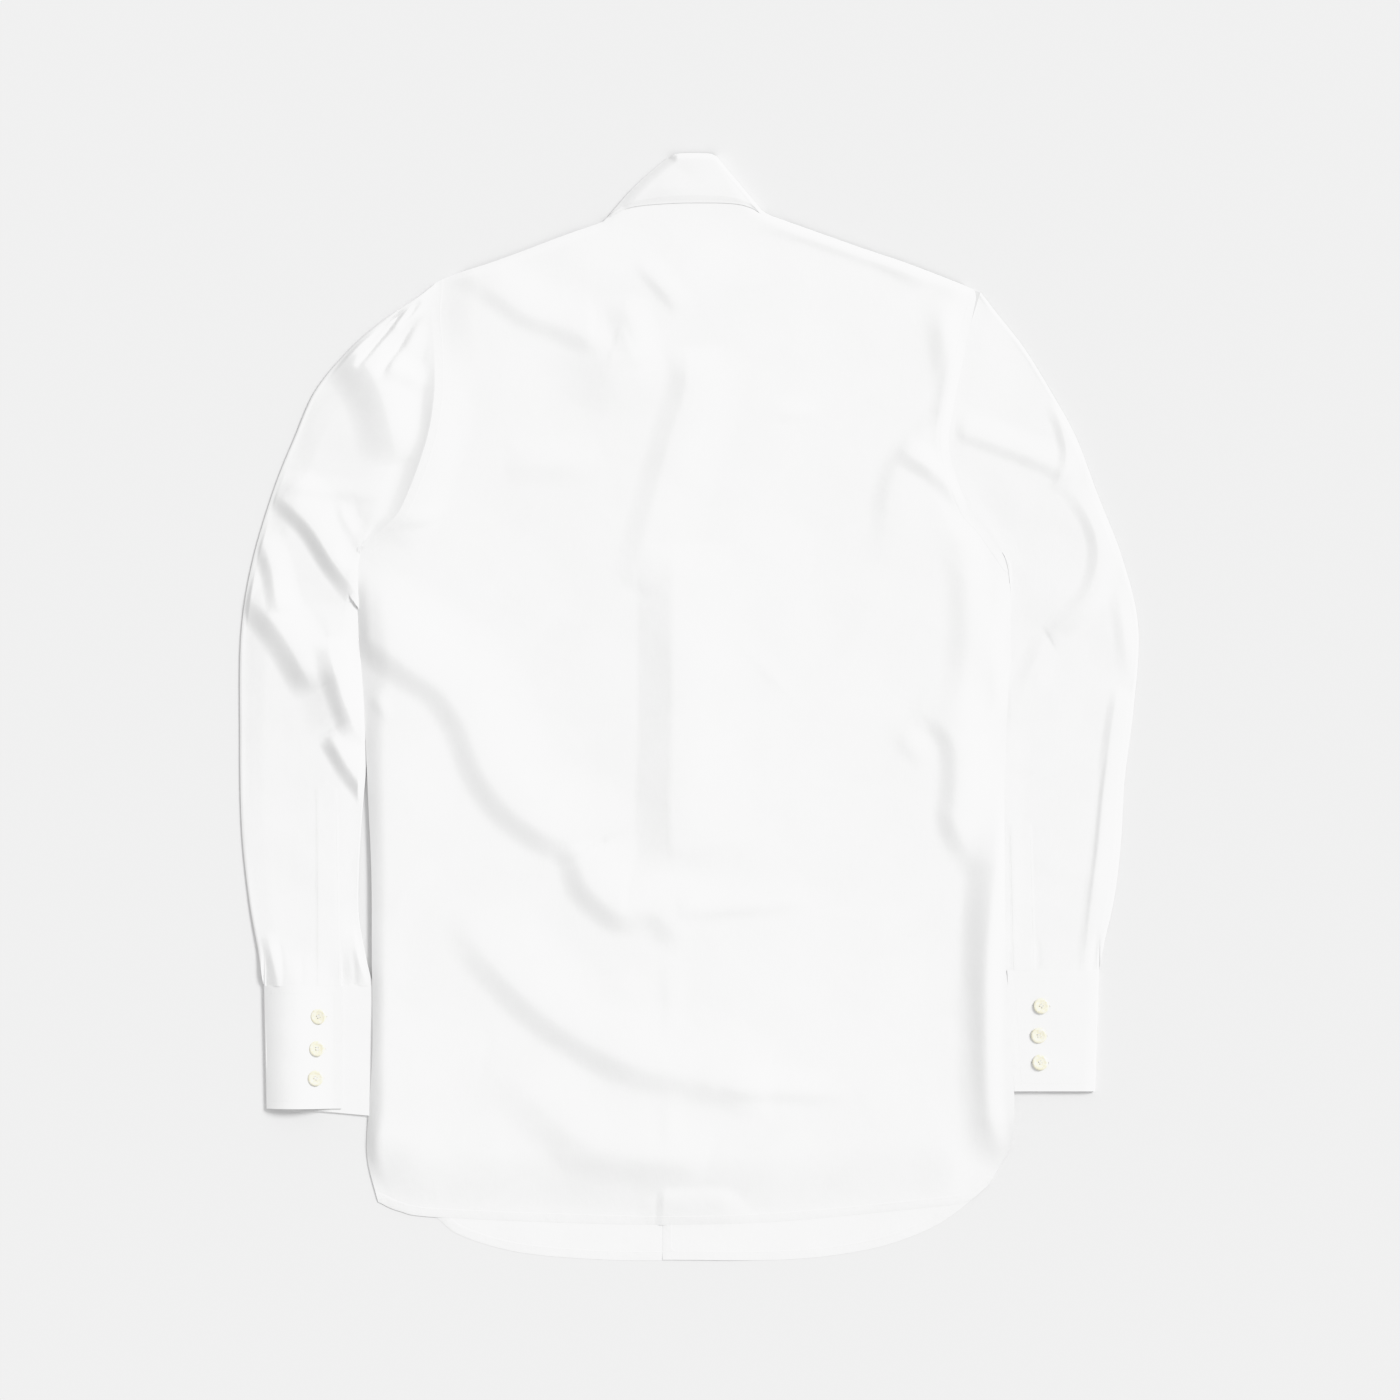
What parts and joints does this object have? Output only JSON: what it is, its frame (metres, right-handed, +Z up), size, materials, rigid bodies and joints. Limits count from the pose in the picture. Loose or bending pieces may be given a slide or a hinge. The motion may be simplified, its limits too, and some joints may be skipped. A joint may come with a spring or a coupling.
{
  "type": "long-sleeved shirt, laid flat",
  "caption": "White long-sleeved button shirt with a turn-down collar and buttoned cuffs, laid flat with its back up and lightly creased.",
  "frame": {"origin": "on the surface the shirt lies on, under the middle of its bounding box", "axes": "+Z up out of the back, +Y from the hem to the collar, +X to the wearer's right sleeve"},
  "size_m": [0.6998, 0.8632, 0.0162],
  "materials": {
    "white_cotton": "matt plain weave",
    "cream_pearl": "glossy pearl, four holes"
  },
  "bodies": {
    "root": {"back_panel": "white_cotton", "front_left": "white_cotton", "front_right": "white_cotton", "sleeve_left": "white_cotton", "sleeve_right": "white_cotton", "sleeve_placket_left": "white_cotton", "sleeve_placket_right": "white_cotton", "cuff_left": "white_cotton", "cuff_right": "white_cotton", "collar_leaf": "white_cotton", "collar_stand": "white_cotton", "cuff_button_left_1": "cream_pearl", "cuff_button_left_2": "cream_pearl", "cuff_button_left_3": "cream_pearl", "cuff_button_right_1": "cream_pearl", "cuff_button_right_2": "cream_pearl", "cuff_button_right_3": "cream_pearl", "front_button_1": "cream_pearl", "front_button_2": "cream_pearl", "front_button_3": "cream_pearl", "front_button_4": "cream_pearl", "front_button_5": "cream_pearl", "front_button_6": "cream_pearl", "front_button_7": "cream_pearl", "front_button_8": "cream_pearl", "stand_button": "cream_pearl"}
  },
  "joints": []
}
